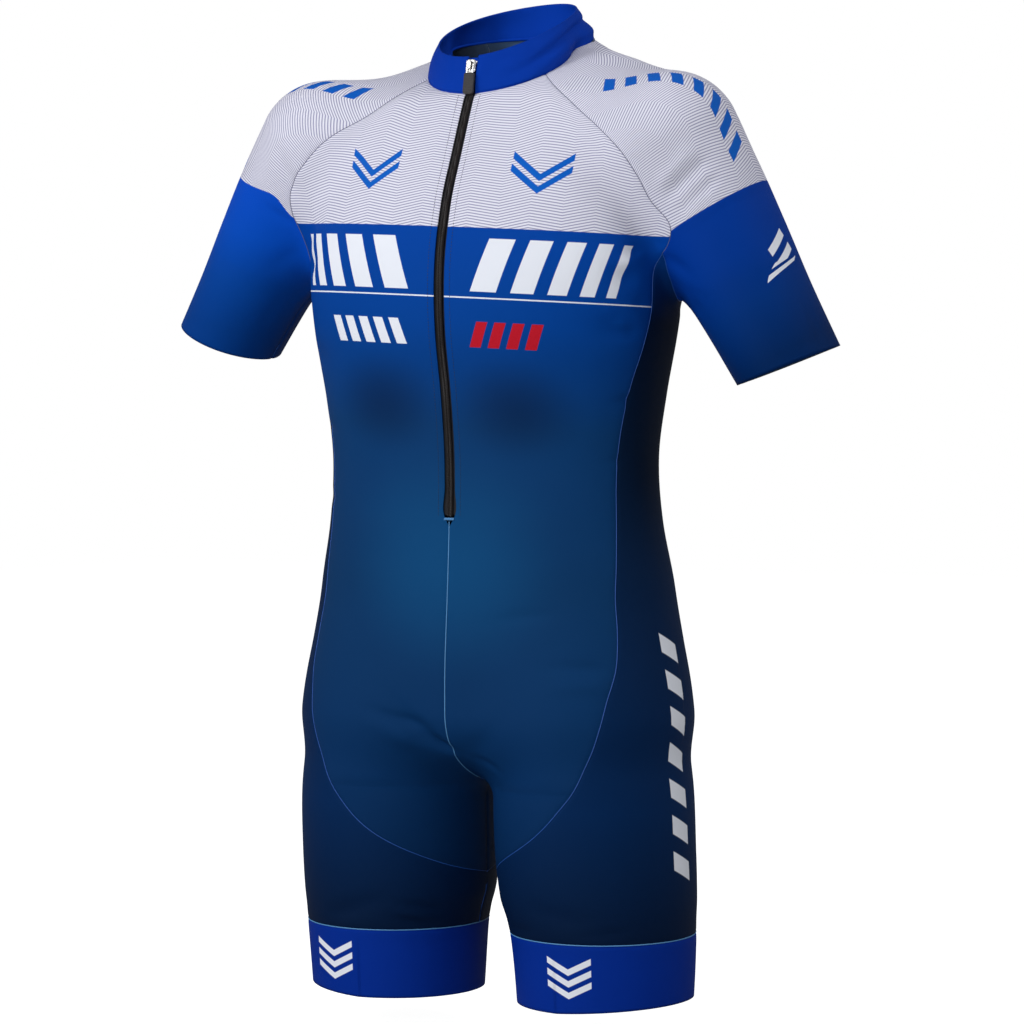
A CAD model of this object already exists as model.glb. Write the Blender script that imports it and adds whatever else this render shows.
# %% [markdown]
# # A short-sleeved speed skating suit
# The real thing is a one-piece race suit of thin stretch knit, sewn from a dozen pieces and closed by a
# front zip. The CAD model already has its true size and its solid panels. Here the same panels are drawn
# again as fine, thin cloth, and get their print, seams, threads and zip.

# %% Start from the CAD model
import math
from types import SimpleNamespace

import bmesh
import bpy
import numpy as np
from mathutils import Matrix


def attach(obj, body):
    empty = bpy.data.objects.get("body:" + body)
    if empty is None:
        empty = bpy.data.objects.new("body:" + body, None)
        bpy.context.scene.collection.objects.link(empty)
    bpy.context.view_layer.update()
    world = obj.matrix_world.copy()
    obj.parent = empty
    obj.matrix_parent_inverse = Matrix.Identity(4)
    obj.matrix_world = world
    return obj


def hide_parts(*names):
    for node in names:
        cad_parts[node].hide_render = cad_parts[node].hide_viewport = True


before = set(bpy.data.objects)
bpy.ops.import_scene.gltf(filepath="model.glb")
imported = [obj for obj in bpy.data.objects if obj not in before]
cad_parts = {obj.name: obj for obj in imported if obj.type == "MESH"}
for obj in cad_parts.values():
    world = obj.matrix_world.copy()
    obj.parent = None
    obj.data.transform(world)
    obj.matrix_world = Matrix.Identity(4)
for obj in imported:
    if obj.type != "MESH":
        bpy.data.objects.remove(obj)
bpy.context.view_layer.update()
MM = 0.001

# %% [markdown]
# ## The filled-out form
# Stretch cloth takes the shape of what is in it. So the first thing to describe isn't the cloth but the
# smooth body that fills it: a trunk, two thighs and two upper arms, melted together where they meet. One
# function tells for any point how far outside that body it lies. A sculpted mesh could hold the same
# shape, but with a function every panel, thread and stitch can be laid on exactly the same surface.

# %% Arithmetic used everywhere
def mix(a, b, t):
    """a where t is 0 and b where t is 1."""
    return a + (b - a) * t


def clamp01(t):
    return np.clip(t, 0.0, 1.0)


def smooth_step(t):
    """3 t^2 - 2 t^3 between 0 and 1, flat beyond."""
    return clamp01(t) ** 2 * (3 - 2 * clamp01(t))


def dot(a, b):
    return (a * b).sum(-1)


def unit(v):
    return v / np.linalg.norm(v, axis=-1, keepdims=True)


def split(table):
    """The last axis of an array as separate arrays."""
    return np.moveaxis(table, -1, 0)


def cubic(y, slope, i, h, t):
    """The cubic from y[i] to y[i + 1] that has their slopes; t runs from 0 to 1 over the step h."""
    rise = t * t * (3 - 2 * t)
    return (mix(y[i], y[i + 1], rise) + h * slope[i] * t * (1 - t) ** 2
            + h * slope[i + 1] * t * t * (t - 1))


def run_along(line):
    """Distance of every point of a line from its start."""
    return np.concatenate([[0], np.cumsum(np.linalg.norm(np.diff(line, axis=0), axis=-1))])


def smooth_table(rows):
    """Cubic curves through the rows of a table. The slope at a row is that from the row before to the
    row after."""
    table = np.array(sorted(rows), float)
    x, y = table[:, 0], table[:, 1:]
    before = np.maximum(np.arange(len(x)) - 1, 0)
    after = np.minimum(np.arange(len(x)) + 1, len(x) - 1)
    slope = (y[after] - y[before]) / (x[after] - x[before])[:, None]

    def read(at):
        at = np.clip(at, x[0], x[-1])
        i = np.clip(np.searchsorted(x, at) - 1, 0, len(x) - 2)
        h = (x[i + 1] - x[i])[..., None]
        return cubic(y, slope, i, h, (at - x[i])[..., None] / h)
    return read


# %% Tables of the body, in millimetres
# Trunk: height, half width, depth in front, depth behind, middle, roundness of the section
trunk = smooth_table([
    (90, 60, 80, 32, 28, 2.0), (44, 61, 74, 32, 28, 2.0), (30, 70, 54, 36, 28, 1.7),
    (22, 82, 52, 42, 26, 1.6), (14, 97, 52, 50, 23, 1.55), (2, 130, 66, 62, 16, 1.5),
    (-12, 158, 76, 72, 8, 1.7), (-24, 168, 87, 80, 2, 1.85), (-34, 172, 93, 86, -4, 1.95),
    (-46, 176, 95, 90, -9, 2.1), (-90, 182, 101, 100, -24, 2.35), (-140, 186, 117, 104, -31, 2.5),
    (-200, 187, 126, 108, -36, 2.5), (-260, 181, 121, 108, -40, 2.45),
    (-320, 172, 106, 104, -43, 2.35), (-380, 166, 96, 100, -45, 2.25),
    (-440, 169, 97, 104, -44, 2.25), (-510, 180, 104, 116, -41, 2.25),
    (-580, 183, 110, 125, -40, 2.2), (-640, 181, 110, 121, -40, 2.2),
])
# Leg: height, distance from the middle plane, half width, half depth
leg = smooth_table([
    (-560, 100, 84, 100), (-640, 101, 89, 106), (-700, 104, 94, 105), (-760, 105, 95, 101),
    (-800, 106.5, 93.5, 97), (-822, 109, 89.5, 94), (-845, 110.5, 87.5, 91), (-905, 111, 83.5, 86),
])
# Sleeve: distance from the shoulder point, half width, half depth
arm = smooth_table([(0, 64, 68), (60, 63, 65), (120, 59, 61), (180, 54, 57), (240, 51, 54)])

TRUNK_ROUND_TOP, TRUNK_ROUND_DROP = -620, 66
LEG_AXIS_Y, LEG_ROUND_TOP, LEG_ROUND_RISE = -40, -640, 120
LEG_SWING, LEG_SWING_TOP = 5, -700
ARM_ROUND_TOP = 64
BLEND_SHOULDER, BLEND_LEG, BLEND_BETWEEN_LEGS = 52, 40, 12
BLEND_RISE_START, BLEND_RISE_END = -200, -60
ZIP_BOTTOM, ZIP_SEAM_START, ZIP_SLOT = -436, -446, 5.3
SIDE_TOP, LEG_TIP, CUFF_SEAM, CUFF_HEM, CUFF_HEM_RISE = -190, -783, -833, -899, 6


def arm_side(sign, shoulder, aim, hem_under, hem_outer, armpit_blend):
    """Directions of one sleeve: down it, away from the trunk, and towards the front."""
    aim = unit(np.array(aim))
    outward = unit(-sign * np.array([aim[2], 0, -aim[0]]))
    forward = unit(np.cross(aim, outward))
    return SimpleNamespace(sign=sign, shoulder=np.array(shoulder, float), aim=aim, outward=outward,
                           forward=forward * -np.sign(forward[1]), hem_under=hem_under,
                           hem_outer=hem_outer, armpit_blend=armpit_blend)


SIDES = {
    "left": arm_side(1, (186, -42, -83), (0.435, 0.13, -0.87), 232, 244, 18),
    "right": arm_side(-1, (-187, -42, -73), (-0.555, 0.138, -0.82), 221, 240, 34),
}


# %% Distance outside the body
def blend(a, b, radius):
    """The smaller of two distances, less a fillet of (radius - |a - b|)^2 / (4 radius)."""
    near = np.maximum(radius - np.abs(a - b), 0) / radius
    return np.minimum(a, b) - near * near * radius / 4


def trunk_distance(p):
    """Superellipse |x/a|^n + |y/b|^n + |drop/c|^n = 1, closed under the hips by the drop."""
    half, front, back, centre, power = split(trunk(p[..., 2]))
    offset = p[..., 1] - centre
    depth = np.where(offset < 0, front, back)
    under = np.maximum(TRUNK_ROUND_TOP - p[..., 2], 0) / TRUNK_ROUND_DROP
    total = (np.abs(p[..., 0]) / half) ** power + (np.abs(offset) / depth) ** power + under ** power
    return (total ** (1 / power) - 1) * np.minimum(half, depth)


def leg_distance(p, sign):
    """Ellipse round an upright line that swings a little to the left further down."""
    x, half, depth = split(leg(p[..., 2]))
    over = np.maximum(p[..., 2] - LEG_ROUND_TOP, 0) / LEG_ROUND_RISE
    swing = LEG_SWING * smooth_step((LEG_SWING_TOP - p[..., 2]) / (LEG_SWING_TOP - CUFF_HEM))
    away = (p[..., 0] - sign * x - swing) / half
    reach = np.sqrt(away ** 2 + ((p[..., 1] - LEG_AXIS_Y) / depth) ** 2 + over ** 2)
    return (reach - 1) * half


def arm_distance(p, side):
    """Ellipse round the sleeve's own line, closed by a dome above the shoulder point."""
    offset = p - side.shoulder
    along = dot(offset, side.aim)
    across, deep = split(arm(along))
    over = np.maximum(-along, 0) / ARM_ROUND_TOP
    outer, ahead = dot(offset, side.outward) / across, dot(offset, side.forward) / deep
    return (np.sqrt(outer ** 2 + ahead ** 2 + over ** 2) - 1) * np.minimum(across, deep)


def form(p):
    """Distance outside the whole body: negative inside, zero on the cloth."""
    legs = blend(leg_distance(p, 1), leg_distance(p, -1), BLEND_BETWEEN_LEGS)
    body = blend(trunk_distance(p), legs, BLEND_LEG)
    on_left = p[..., 0] > 0
    sleeve = np.where(on_left, arm_distance(p, SIDES["left"]), arm_distance(p, SIDES["right"]))
    pit = np.where(on_left, SIDES["left"].armpit_blend, SIDES["right"].armpit_blend)
    high = smooth_step((p[..., 2] - BLEND_RISE_START) / (BLEND_RISE_END - BLEND_RISE_START))
    return blend(body, sleeve, mix(pit, BLEND_SHOULDER, high))


def gradient(p, step=0.5):
    """Slope of the form along x, y and z, from the difference over a millimetre."""
    rise = [form(p + step * axis) - form(p - step * axis) for axis in np.eye(3)]
    return np.stack(rise, -1) / (2 * step)


def settle(p, steps=5):
    """Points near the body moved onto it: each step goes distance / slope along the slope."""
    for _ in range(steps):
        slope = gradient(p)
        reach = np.clip(form(p) / dot(slope, slope), -4, 4)
        p = p - slope * reach[..., None]
    return p


def cast(origin, direction, stride=4.0, reach=440.0):
    """Where rays first cross the body's surface: walked in strides, then halved 24 times."""
    origin, direction = np.broadcast_arrays(np.asarray(origin, float), np.asarray(direction, float))
    inside = form(origin) < 0

    def same(distance):
        return (form(origin + direction * distance[..., None]) < 0) == inside

    far = np.full(inside.shape, stride)
    walking = same(far)
    while walking.any():
        far = np.where(walking, far + stride, far)
        walking = walking & (far < reach) & same(far)
    near = far - stride
    for _ in range(24):
        middle = (near + far) / 2
        ahead = same(middle)
        near, far = np.where(ahead, middle, near), np.where(ahead, far, middle)
    return origin + direction * ((near + far) / 2)[..., None]


low, high = -660.0, -740.0
for _ in range(30):
    half_way = (low + high) / 2
    inside = form(np.array([0, LEG_AXIS_Y, half_way])) < 0
    low, high = (half_way, high) if inside else (low, half_way)
CROTCH = high
print(f"crotch at {CROTCH:.1f} mm")

# %% [markdown]
# ## Where the panels are cut
# A skating suit has raglan sleeves: the seam runs from the neck to the armpit, not round the shoulder.
# From there the side panel begins as a narrow strip under the arm, runs down the side and widens until it
# goes all the way round the thigh. Each panel is a sparse grid of points on the body, row by row, and
# neighbours share the points of their seam.

# %% Seam tables
side_seam = smooth_table([
    (-187, 76), (-214, 77.5), (-253, 78.5), (-293, 76), (-326, 74.2), (-383, 73.2), (-447, 71.7),
    (-504, 68.7), (-540, 67), (-561, 64.5), (-587, 58.5), (-614, 48), (-645, 35.2), (-670, 22.5),
    (-700, 9), (-726, -4), (-744, -18), (-761, -39), (-775, -64), (-783, -89.5),
])
raglan = smooth_table([
    (40, 46, 60), (14, 46, 57.5), (-14, 46.5, 55), (-28, 48.5, 54.5), (-46, 53.5, 55),
    (-75, 60.7, 57), (-110, 65.8, 60), (-140, 70.1, 62.5), (-170, 74.5, 65), (-190, 77.2, 67),
])
RAGLAN_STEPS = np.array([0, 0.08, 0.19, 0.31, 0.45, 0.59, 0.73, 0.87, 1])
RAGLAN_END = len(RAGLAN_STEPS) - 1
BODY_LEVELS = np.array([
    -214, -244, -276, -310, -344, -378, -410, ZIP_BOTTOM, ZIP_SEAM_START, -478, -512, -546, -578,
    -606, -632, -656, -668, -676, -682, -686, -689, -691, CROTCH, -710, -720, -730, -738, -746,
    -753, -760, -766, -772, -778, LEG_TIP,
])
LEVELS_TO_CUFF = np.array([-800, -817, CUFF_SEAM])
# The front raglan seam isn't quite the same on both sides; degrees added at the raglan steps
SIDES["left"].ease = np.array([0, -2.5, -1.2, -2, -2, -1, -0.5, 0, 0])
SIDES["right"].ease = np.array([0, -0.5, 0, -0.8, -0.5, 1.2, 0.8, 0, 0])
BACK_SEAM_SHIFT = math.radians(9)
UNDERARM_SHAPE_END = -345
BODY_COLUMNS, SIDE_HALF_COLUMNS, SLEEVE_COLUMNS, UNDERARM_ROWS = 7, 7, 12, 6
NECK_AXIS_Y = -3
RAGLAN_NECK_ANGLE = math.radians(47)
LEG_ROW_X, LEG_ROW_START, LEG_ROW_DROP = 105, -520, 180
SLEEVE_LINE_START, PIT_SIDE_X, PIT_SIDE_LIFT = 76, 172, 24


def neck_height(angle):
    """Height of the neck seam: low in front, high behind."""
    return 8.5 - 34 * np.cos(angle) - 7.5 * np.cos(2 * angle)


def neck_angle(facing):
    return RAGLAN_NECK_ANGLE if facing < 0 else math.pi - RAGLAN_NECK_ANGLE


def sideways(sign, angle):
    """Level directions at an angle from straight ahead."""
    return np.stack([sign * np.sin(angle), -np.cos(angle), 0 * angle], -1)


def row_axis(sign, z):
    """Middle of a row: the trunk's middle, moving out to the leg's below the hips."""
    x = sign * LEG_ROW_X * smooth_step((LEG_ROW_START - z) / LEG_ROW_DROP)
    return np.stack([x, trunk(z)[..., 3], z], -1)


def row_point(sign, z, angle):
    return cast(row_axis(sign, z), sideways(sign, angle))


def neck_point(sign, angle):
    angle = np.asarray(angle, float)
    origin = np.stack([0 * angle, 0 * angle + NECK_AXIS_Y, neck_height(angle)], -1)
    return cast(origin, sideways(sign, angle))


def neck_front_point(x):
    return cast([x, NECK_AXIS_Y, neck_height(0.0)], [0, -1, 0])


def row_start(sign, z, facing):
    """Where rows start: at the zip or the middle plane, and at the inseam below the crotch. Gives the
    angle, and the point itself for the rows above the crotch."""
    opened = smooth_step((z - ZIP_SEAM_START) / (ZIP_BOTTOM - ZIP_SEAM_START))
    axis = row_axis(sign, z)
    start = np.stack([sign * ZIP_SLOT * opened * (facing < 0), axis[..., 1], z], -1)
    hit = cast(start, [0, facing, 0])
    angle = np.arctan2((hit[..., 0] - axis[..., 0]) * sign, axis[..., 1] - hit[..., 1])
    if facing > 0:
        angle = np.where(angle < 0, angle + 2 * math.pi, angle)
    return np.where(z <= CROTCH, -math.pi / 2 if facing < 0 else 1.5 * math.pi, angle), hit


def raglan_rows(side, facing):
    """Height and angle of the raglan seam at its steps."""
    level = mix(neck_height(neck_angle(facing)), SIDE_TOP, RAGLAN_STEPS)
    from_front, from_back = split(np.radians(raglan(level)))
    return level, from_front + np.radians(side.ease) if facing < 0 else math.pi - from_back


def side_seam_angle(level, facing):
    angle = np.radians(side_seam(level)[..., 0])
    high = clamp01((level - UNDERARM_SHAPE_END) / (SIDE_TOP - UNDERARM_SHAPE_END))
    return angle if facing < 0 else math.pi - angle + BACK_SEAM_SHIFT * high


# %% Front and back panels
def row_height(level, facing, t):
    """Height along a row: level at the side, dipping or rising with the neck seam at the middle."""
    top = neck_height(neck_angle(facing))
    fade = clamp01((level - SIDE_TOP) / (top - SIDE_TOP)) ** 2
    middle = 0 if facing < 0 else math.pi
    return level + fade * (neck_height(mix(middle, neck_angle(facing), t)) - top)


def body_panel(side, facing):
    """Rows from the neck to the tip between the legs, columns from the middle to the seam."""
    levels, angles = raglan_rows(side, facing)
    levels = np.concatenate([levels, BODY_LEVELS])[:, None]
    angles = np.concatenate([angles, side_seam_angle(BODY_LEVELS, facing)])[:, None]
    t = np.linspace(0, 1, BODY_COLUMNS + 1)
    z = row_height(levels, facing, t)
    start, middle_line = row_start(side.sign, z[:, 0], facing)
    grid = row_point(side.sign, z, mix(start[:, None], angles, t))
    grid[:, 0] = np.where(z[:, :1] > CROTCH, middle_line, grid[:, 0])
    middle = 0 if facing < 0 else math.pi
    grid[0] = neck_point(side.sign, mix(middle, neck_angle(facing), t))
    if facing < 0:
        grid[0, 0] = neck_front_point(side.sign * ZIP_SLOT)
    grid[levels[:, 0] == CROTCH, 0] = (0, LEG_AXIS_Y, CROTCH)
    return grid


# %% Side panels
PIT_SEARCH, PIT_SEARCH_HEIGHT = np.arange(186.0, 237.0), -330


def armpit(side):
    """The highest point of the hollow between sleeve and trunk."""
    x = side.sign * PIT_SEARCH
    start = np.stack([x, 0 * x + side.shoulder[1], 0 * x + PIT_SEARCH_HEIGHT], -1)
    hit = cast(start, [0, 0, 1])
    height = np.where(form(start) > 0, hit[:, 2], -np.inf)
    return hit[np.argmax(height)]


def raglan_edge(side, facing):
    level, angle = raglan_rows(side, facing)
    edge = row_point(side.sign, level, angle)
    edge[0] = neck_point(side.sign, neck_angle(facing))
    return edge


def side_top_edge(side):
    """Edge between side panel and sleeve, from the front through the armpit to the back."""
    inside = np.array([side.sign * PIT_SIDE_X, trunk(np.float64(SIDE_TOP))[3],
                       SIDE_TOP + PIT_SIDE_LIFT])
    pit = armpit(side)
    halves = []
    for facing in (-1, 1):
        start = raglan_edge(side, facing)[-1]
        t = np.arange(1, SIDE_HALF_COLUMNS)[:, None] / SIDE_HALF_COLUMNS
        direction = unit(mix(unit(start - inside), unit(pit - inside), t))
        halves.append(np.vstack([start, cast(inside, direction)]))
    return np.vstack([halves[0], pit, halves[1][::-1]])


def side_panel(side):
    """Rows from the underarm edge to the cuff, columns from the front seam round to the back."""
    top = side_top_edge(side)
    levels = np.concatenate([BODY_LEVELS, LEVELS_TO_CUFF])[:, None]
    whole = levels < LEG_TIP
    start = np.where(whole, -math.pi / 2, side_seam_angle(levels, -1))
    end = np.where(whole, 1.5 * math.pi, side_seam_angle(levels, 1))
    fade = clamp01((levels - UNDERARM_SHAPE_END) / (SIDE_TOP - UNDERARM_SHAPE_END))
    angle = mix(start, end, np.linspace(0, 1, len(top)))
    z = levels - fade * (SIDE_TOP - top[:, 2])
    return np.concatenate([top[None], row_point(side.sign, z, angle)])


# %% Sleeves
def sleeve_panel(side):
    """Rows over the shoulder from the neck seam to the hem. Each row is seen from a point of a bent
    line inside the shoulder and sleeve, and runs from the front edge over the top to the back edge."""
    top = side_top_edge(side)
    pit_along = dot(top[SIDE_HALF_COLUMNS] - side.shoulder, side.aim)
    under_along = mix(pit_along, side.hem_under, np.arange(1, UNDERARM_ROWS + 1) / UNDERARM_ROWS)
    under = cast(side.shoulder + side.aim * under_along[:, None], -side.outward)
    front = np.vstack([raglan_edge(side, -1), top[1:SIDE_HALF_COLUMNS + 1], under])
    back = np.vstack([raglan_edge(side, 1), top[SIDE_HALF_COLUMNS:-1][::-1], under])
    last, joined = len(front) - 1, RAGLAN_END
    row = np.arange(last + 1)[:, None]
    neck_core = np.array([side.sign * 52, -14, -42])
    bend = np.array([side.sign * 160, -34, -78])
    arm_start = side.shoulder + side.aim * SLEEVE_LINE_START
    t = row / joined
    upper = mix(mix(neck_core, bend, t), mix(bend, arm_start, t), t)
    t = (row - joined) / (last - joined)
    hem_middle = (side.hem_under + side.hem_outer) / 2
    lower = side.shoulder + side.aim * mix(SLEEVE_LINE_START, hem_middle, t)
    core = np.where(row > joined, lower, upper)
    crown = unit(mix(np.array([side.sign * 0.3, 0, 1]), side.outward, smooth_step(row / joined)))
    ahead = unit(side.forward - crown * dot(crown, side.forward)[:, None])
    axis = np.cross(crown, ahead)
    tilt = (side.hem_outer - side.hem_under) / 2
    hem_share = clamp01(t) ** 2

    def level_point(angle):
        return core[:, None] + side.aim * (hem_share * tilt * np.cos(angle))[..., None]

    def seen(edge, facing):
        d = edge - core
        angle = np.arctan2(dot(d, ahead), dot(d, crown))
        angle = np.where(angle * facing > 0, angle - facing * 2 * math.pi, angle)[:, None]
        d = edge - level_point(angle)[:, 0]
        lean = dot(d, axis) / np.hypot(dot(d, ahead), dot(d, crown))
        return angle, lean[:, None]

    (start, start_lean), (end, end_lean) = seen(front, -1), seen(back, 1)
    t = np.linspace(0, 1, SLEEVE_COLUMNS + 1)
    angle = mix(start, end, t)
    across = ahead[:, None] * np.sin(angle)[..., None] + crown[:, None] * np.cos(angle)[..., None]
    lean = start_lean * (1 - t) ** 2 + end_lean * t ** 2
    direction = unit(across + axis[:, None] * lean[..., None])
    grid = cast(level_point(angle), direction)
    grid[:, 0], grid[:, -1] = front, back
    grid[0] = neck_point(side.sign, mix(neck_angle(-1), neck_angle(1), t))
    return grid


# %% [markdown]
# ## From sparse rows to fine cloth
# A smooth mesh needs a point every few millimetres, but nobody wants to write those down. Cubic curves
# are drawn through the sparse points, first down the columns and then along the rows, and everything is
# pulled back onto the body. At seams the curves start afresh, so that two neighbours get the same edge.

# %% Refining a grid
CELL = 3.4
EDGE_STEPS = (0.6, 1.7)


def spline(points, knots, at):
    """Cubic pieces through points at the knots, with slopes from the neighbours on each side. No slope
    is steeper than twice the flatter of the two chords beside it, so no curve overshoots."""
    slope = np.gradient(points, knots, axis=0, edge_order=2)
    chord = np.linalg.norm(np.diff(points, axis=0), axis=-1)
    chord = chord / np.diff(knots).reshape((-1,) + (1,) * (points.ndim - 2))
    limit = 2 * np.minimum(np.concatenate([chord[:1], chord]), np.concatenate([chord, chord[-1:]]))
    steep = np.linalg.norm(slope, axis=-1)
    slope = slope * np.minimum(1, limit / np.maximum(steep, 1e-9))[..., None]
    i = np.clip(np.searchsorted(knots, at, side="right") - 1, 0, len(knots) - 2)
    wide = (-1,) + (1,) * (points.ndim - 1)
    h = (knots[i + 1] - knots[i]).reshape(wide)
    return cubic(points, slope, i, h, (at - knots[i]).reshape(wide) / h)


def even_cuts(points, knots, sewn):
    """Knot values about a cell apart, closer together beside a sewn edge."""
    step = np.sqrt((np.diff(points, axis=0) ** 2).sum(-1).mean(-1))
    length = np.concatenate([[0], np.cumsum(step)])
    cuts = np.linspace(0, length[-1], max(3, round(length[-1] / CELL)) + 1)
    extra = [e for e in EDGE_STEPS if sewn[0]] + [length[-1] - e for e in EDGE_STEPS if sewn[1]]
    return np.interp(np.unique(np.concatenate([cuts, extra])), length, knots)


def refine(points, knots, breaks, sewn):
    """Fine points along the first axis, piece by piece between the breaks."""
    ends = [0, *breaks, len(points) - 1]
    pieces = []
    for k, (first, last) in enumerate(zip(ends[:-1], ends[1:])):
        part, own = points[first:last + 1], knots[first:last + 1]
        outer = (sewn[0] and k == 0, sewn[1] and k == len(ends) - 2)
        at = even_cuts(part, own, outer)
        pieces.append(spline(part, own, at if k == 0 else at[1:]))
    return np.concatenate(pieces)


def fine_panel(sparse, knots, row_breaks=(), column_breaks=(), hem=False):
    """Rows, then columns refined, then all points settled on the body."""
    rows = refine(sparse, knots, row_breaks, (True, not hem))
    turned = np.swapaxes(rows, 0, 1)
    columns = np.arange(len(turned), dtype=float)
    fine = refine(turned, columns, column_breaks, (True, True))
    return settle(np.swapaxes(fine, 0, 1))


RAGLAN_KNOTS = 200 * (RAGLAN_STEPS - 1)
BODY_KNOTS = np.concatenate([RAGLAN_KNOTS, SIDE_TOP - BODY_LEVELS])
SIDE_KNOTS = np.concatenate([[0.0], SIDE_TOP - BODY_LEVELS, SIDE_TOP - LEVELS_TO_CUFF])
SLEEVE_KNOTS = np.concatenate([
    RAGLAN_KNOTS, 10.0 * np.arange(1, SIDE_HALF_COLUMNS + UNDERARM_ROWS + 1)])
shapes = {}
for name, side in SIDES.items():
    for face, facing in (("front", -1), ("back", 1)):
        sparse = body_panel(side, facing)
        shapes[f"{face}_{name}"] = fine_panel(sparse, BODY_KNOTS, (RAGLAN_END,))
    shapes[f"side_leg_{name}"] = fine_panel(side_panel(side), SIDE_KNOTS, (), (SIDE_HALF_COLUMNS,))
    shapes[f"sleeve_{name}"] = fine_panel(
        sleeve_panel(side), SLEEVE_KNOTS, (RAGLAN_END, RAGLAN_END + SIDE_HALF_COLUMNS), hem=True)
print({name: grid.shape[:2] for name, grid in shapes.items()})

# %% Leg cuffs
def cuff_band(side, rows=21, columns=160):
    """A closed band: the row height falls from the seam to the hem, which rises on the outer side."""
    angle = np.linspace(0, 2 * math.pi, columns, endpoint=False)
    hem = CUFF_HEM + CUFF_HEM_RISE * np.maximum(np.sin(angle), 0)
    share = np.concatenate([[0, 0.01, 0.03], np.linspace(0.05, 1, rows)])[:, None]
    return row_point(side.sign, mix(CUFF_SEAM, hem, share), angle + 0 * share)


for name, side in SIDES.items():
    shapes[f"leg_cuff_{name}"] = cuff_band(side)

# %% [markdown]
# ## Folds and seam grooves
# Filled-out stretch cloth has few folds, and they sit where it is pulled or pushed together: in front of
# the armpits, behind the waist, in the groin and above the cuffs. Each fold is a soft trough set by hand,
# or a ridge beside one, strongest in its middle and fading out along and across. Along a sewn edge the
# cloth dips a little, because the seam pulls it in.

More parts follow.
